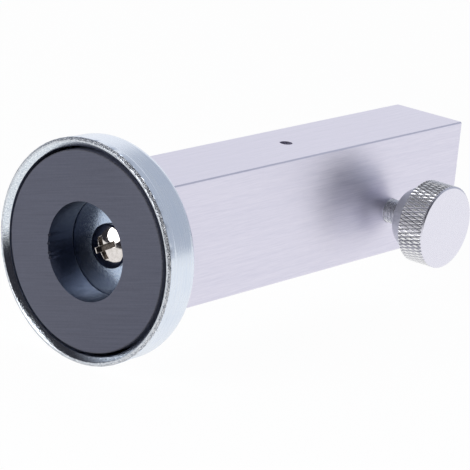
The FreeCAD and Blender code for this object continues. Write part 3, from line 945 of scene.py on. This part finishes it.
tips = pick("verts", is_tip)
raise_tips = (knob_r + tip_rise) / groove_r
bpy.ops.transform.resize(value=(raise_tips, 1, raise_tips), center_override=net_middle)
bpy.ops.mesh.select_all(action="SELECT")
bpy.ops.mesh.quads_convert_to_tris(quad_method="SHORTEST_DIAGONAL")
for row_y, reach in ((net_start, 0.0), (net_start + net_length, rim_length)):
    pick("edges", lambda e: e.is_boundary and all(abs(v.co.y - row_y * MM) < MERGE for v in e.verts))
    bpy.ops.mesh.extrude_edges_move(TRANSFORM_OT_translate={"value": (0, reach * MM, 0)})
    bpy.ops.mesh.merge(type="CENTER")
bpy.ops.mesh.select_all(action="SELECT")
bpy.ops.mesh.normals_make_consistent(inside=False)
bpy.ops.object.mode_set(mode="OBJECT")
print("diamond tips", tips, "row height in mm", round(row_height, 3))

# %% [markdown]
# The knurled stock then goes on the lathe. The knob's outline, with the chamfers at both ends of the
# rim, the cone behind it and the socket that takes the screw, is turned as a blank, and the knob is
# what the blank and the stock share. The blank's rim stands below the diamonds' tips, so it cuts
# them to the flats that catch the light, and the grooves run out into the chamfers.

# %% Knob
boss_y, boss_r = knob_high.y, 6.5
back_y = face_y + rim_length
rim_step = 0.6
shoulder_r = knob_r - rim_step
socket_r, socket_depth = 3.0, 6.0
face_chamfer, back_chamfer = 0.28, 0.3
inner_land, outer_land = 0.8, 0.45
boss_round = 0.15
knob_steps = 4 * diamonds_round
cone_slope = (shoulder_r - boss_r) / (boss_y - back_y)
cone_start = [(back_y + along, shoulder_r - cone_slope * along) for along in (0.15, 0.3)]
knob = turn("thumb_screw_knob", 1, knob_centre, [
    (face_y, 0.0), (face_y, knob_r - inner_land), (face_y, knob_r - outer_land),
    (face_y + face_chamfer, knob_r), (back_y - back_chamfer, knob_r), (back_y, shoulder_r),
    *cone_start, (boss_y, boss_r, boss_round), (boss_y, socket_r, boss_round),
    (boss_y - socket_depth, socket_r), (boss_y - socket_depth, 0.0),
], steps=knob_steps)
cut_away(knob, stock, keep="INTERSECT")
finish_piece(knob, "thumb_screw", "turned_steel", "knurled_steel", "adjuster_knob", smooth=20.0)
knurl_start, knurl_end = face_y + face_chamfer, back_y - back_chamfer
second_finish(
    knob, "rolled_steel",
    band(1, knob_centre, (knurl_start, knurl_end), (shoulder_r - slack, math.inf)),
)
second_finish(knob, "satin_steel", band(1, knob_centre, (back_y + skin_depth, math.inf), ANYWHERE))
outermost = max((v.co - knob_centre * MM).xz.length for v in knob.data.vertices)
print("outermost radius in mm", round(outermost / MM, 3))

# %% [markdown]
# ## Thumb screw thread
# Between the knob and the bar a few turns of the thread show. One tooth of the metric outline is
# drawn, and the Screw modifier winds it up the axis. The thread is wound too long and then cut
# square at both ends, which closes it.

# %% Thread
stud_low, stud_high = box_mm("adjuster_screw")
pitch = 1.0
thread_depth = 0.54
spare_turns = 3
steps_per_turn = 48
crest_r = (stud_high.x - stud_low.x) / 2
root_r = crest_r - thread_depth
tooth = [(0.0, root_r), (0.25, root_r), (0.56, crest_r), (0.69, crest_r), (1.0, root_r)]
thread_start = stud_low.y - pitch
tooth_points = [on_lathe(1, knob_centre, thread_start + along * pitch, radius) for along, radius in tooth]
deselect()
bpy.ops.mesh.primitive_plane_add(size=MM, location=tooth_points[0])
bpy.ops.object.transform_apply(location=True)
stud = bpy.context.object
stud.name = stud.data.name = "thumb_screw_thread"
bpy.ops.object.mode_set(mode="EDIT")
bpy.ops.mesh.select_mode(type="VERT")
bpy.ops.mesh.merge(type="CENTER")
for here, there in zip(tooth_points, tooth_points[1:]):
    bpy.ops.mesh.extrude_vertices_move(TRANSFORM_OT_translate={"value": there - here})
bpy.ops.object.mode_set(mode="OBJECT")
bpy.context.scene.cursor.location = knob_centre * MM
bpy.ops.object.origin_set(type="ORIGIN_CURSOR")
wind = stud.modifiers.new("thread", "SCREW")
wind.axis, wind.screw_offset, wind.angle = "Y", pitch * MM, math.tau
wind.iterations = math.ceil((stud_high.y - stud_low.y) / pitch) + spare_turns
wind.steps = wind.render_steps = steps_per_turn
wind.use_merge_vertices, wind.merge_threshold = True, MERGE
bpy.ops.object.modifier_apply(modifier=wind.name)
bpy.ops.object.transform_apply(location=True)
bpy.ops.object.mode_set(mode="EDIT")
bpy.ops.mesh.select_mode(type="VERT")
for end_y, clear in ((stud_low.y, "clear_inner"), (stud_high.y, "clear_outer")):
    bpy.ops.mesh.select_all(action="SELECT")
    bpy.ops.mesh.bisect(
        plane_co=(0, end_y * MM, 0), plane_no=(0, 1, 0), use_fill=True, **{clear: True}
    )
bpy.ops.mesh.select_all(action="SELECT")
bpy.ops.mesh.remove_doubles(threshold=MERGE)
bpy.ops.mesh.normals_make_consistent(inside=False)
bpy.ops.object.mode_set(mode="OBJECT")
finish_piece(stud, "thumb_screw", "centreless_steel", "knurled_steel", "adjuster_screw")

# %% [markdown]
# ## Scales
# The plate's scales are engraved and filled with white paint. A degree of camber moves the long
# vials' bubbles by 7.2 mm and a degree of caster moves the lower one's by 3.8 mm, which sets the
# spacing of the lines. Each line is a thin bar, and its upright edges are rounded as the engraver's
# cutter leaves them.

# %% Lines
line_height, line_width = 0.03, 0.26
short_share = 0.55
sign_size = 2.0
cutter_round = 0.1
plate_y = box_mm("scale_plate")[1].y
marks = []


def line(x, z, width, height):
    """A painted line on the plate, centred at x and z in millimetres."""
    deselect()
    bpy.ops.mesh.primitive_cube_add(
        size=1.0, location=Vector((x, plate_y, z)) * MM,
        scale=Vector((width, line_height, height)) * MM,
    )
    bpy.ops.object.transform_apply(location=True, scale=True)
    marks.append(bpy.context.object)


def scale_lines(x, window_low, window_high, spacing, steps, whole, long_line):
    """Lines below and above a window. Every whole-th line is long, and its place is returned."""
    longs = []
    for i in range(-steps, steps + 1):
        length = long_line if i % whole == 0 else short_share * long_line
        line(x + i * spacing, window_low - length / 2, line_width, length)
        line(x + i * spacing, window_high + length / 2, line_width, length)
        if i % whole == 0:
            longs.append((str(abs(i) // whole), x + i * spacing))
    return longs


def signs(x, z, apart):
    """A minus and a plus on the two sides of a window."""
    arm = (sign_size - line_width) / 2
    for side in (-1, 1):
        line(x + side * apart, z, sign_size, line_width)
    for up in (-1, 1):
        line(x + apart, z + up * (line_width + arm) / 2, line_width, arm)


def join_as(pieces, name):
    """Joins pieces into one and names it."""
    deselect()
    for piece in pieces:
        piece.select_set(True)
    bpy.context.view_layer.objects.active = pieces[0]
    bpy.ops.object.join()
    joined = bpy.context.object
    joined.name = joined.data.name = name
    return joined


# %% [markdown]
# A row of lines is given by half its window's width, the spacing of its lines, how many stand on
# each side of zero, how many make a degree, the length of the long ones and how far out the signs
# are. The short level vial has two pairs of marks instead.

# %% Rows of lines
window_gap = 0.25
number_drop = 1.3
camber_row = (3.0, 1.8, 8, 4, 1.5, 18.2)
caster_row = (2.8, 1.915, 6, 2, 1.2, 17.0)
level_out, level_up, level_line = 3.7, 2.2, 1.5
middles = {}
for name in ("camber_left", "camber_right", "caster", "level"):
    fluid_low, fluid_high = box_mm(name + "_vial_fluid")
    middles[name] = (fluid_low + fluid_high) / 2
numbers = []
for name, row in (("camber_left", camber_row), ("camber_right", camber_row), ("caster", caster_row)):
    window_half, spacing, steps, whole, long_line, apart = row
    x, z = middles[name].x, middles[name].z
    low, high = z - window_half - window_gap, z + window_half + window_gap
    longs = scale_lines(x, low, high, spacing, steps, whole, long_line)
    numbers += [(text, at, low - long_line - number_drop) for text, at in longs]
    signs(x, z, apart)
for side in (-1, 1):
    for up in (-1, 1):
        level = middles["level"]
        line(level.x + side * level_out, level.z + up * level_up, level_line, line_width)
scales = join_as(marks, "painted_scales")
bpy.ops.object.mode_set(mode="EDIT")
pick("edges", lambda e: abs(e.verts[0].co.y - e.verts[1].co.y) > line_height / 2 * MM)
bpy.ops.mesh.bevel(affect="EDGES", offset=cutter_round * MM, segments=3)
bpy.ops.object.mode_set(mode="OBJECT")
finish_piece(scales, "housing", "white_ink", "black_anodised_aluminium")
print("lines", len(marks))

# %% [markdown]
# The numbers read with the magnet on the left. They are text, made into meshes before they are
# stood up on the plate.

# %% Numbers
number_size = 2.5
curve_steps = 4
digits = []
for text, x, z in numbers:
    deselect()
    bpy.ops.object.text_add()
    digit = bpy.context.object
    digit.data.body, digit.data.size, digit.data.extrude = text, number_size * MM, line_height / 2 * MM
    digit.data.align_x, digit.data.align_y, digit.data.resolution_u = "CENTER", "CENTER", curve_steps
    bpy.ops.object.convert(target="MESH")
    digit.rotation_euler = (math.pi / 2, 0, math.pi)
    digit.location = Vector((x, plate_y, z)) * MM
    bpy.ops.object.transform_apply(location=True, rotation=True)
    digits.append(digit)
finish_piece(join_as(digits, "painted_numbers"), "housing", "white_ink", "black_anodised_aluminium")
print("numbers", len(digits))

# %% [markdown]
# Each tube carries two black rings, a little further apart than its bubble is long.

# %% Rings on the tubes
ring_width, ring_rise = 0.35, 0.03
bubble_gap = 0.4
for name, axis, body, bubble in (
    ("camber_left", 0, "housing", 8.0), ("camber_right", 0, "housing", 8.0),
    ("level", 2, "housing", 4.0), ("caster", 0, "caster_unit", 7.0),
):
    tube_low, tube_high = box_mm(name + "_vial")
    tube_r = (tube_high.y - tube_low.y) / 2
    inner, outer = tube_r - ring_rise, tube_r + ring_rise
    for side, end in ((-1, "low"), (1, "high")):
        start = middles[name][axis] + side * (bubble / 2 + bubble_gap) - ring_width / 2
        stop = start + ring_width
        outline = [(start, inner), (start, outer), (stop, outer), (stop, inner), (start, inner)]
        tube_ring = turn(f"{name}_ring_{end}", axis, (tube_low + tube_high) / 2, outline, steps=64)
        finish_piece(tube_ring, body, "black_ink", "clear_acrylic")

# %% [markdown]
# ## Pieces that keep their shape
# The other pieces come from the frame as they are, and only take their finish.

# %% Finishes of the pieces from the frame
kept_finishes = {
    "body": "belt_brushed_aluminium", "magnet_adhesive": "dark_epoxy", "scale_plate": "black_anodised",
    "scale_plate_screws": "oil_black_steel", "caster_cradle": "moulded_acetal",
    "cradle_pivot_pin": "oil_black_steel", "cradle_spring": "drawn_spring_wire",
    "adjuster_tip": "turned_brass",
}
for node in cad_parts:
    if node.endswith("_vial"):
        kept_finishes[node] = "polished_acrylic"
    elif node.endswith("_fluid"):
        kept_finishes[node] = "dyed_spirit"
    elif node.endswith("_plug"):
        kept_finishes[node] = "moulded_nylon"
for node, finish in kept_finishes.items():
    for material_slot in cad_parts[node].material_slots:
        material_slot.material = finishes[finish]
print("pieces with a finish", len(kept_finishes))

# %% [markdown]
# ## Colour
# The Standard view shows colours as they are written.

# %% View
bpy.context.scene.view_settings.view_transform = "Standard"
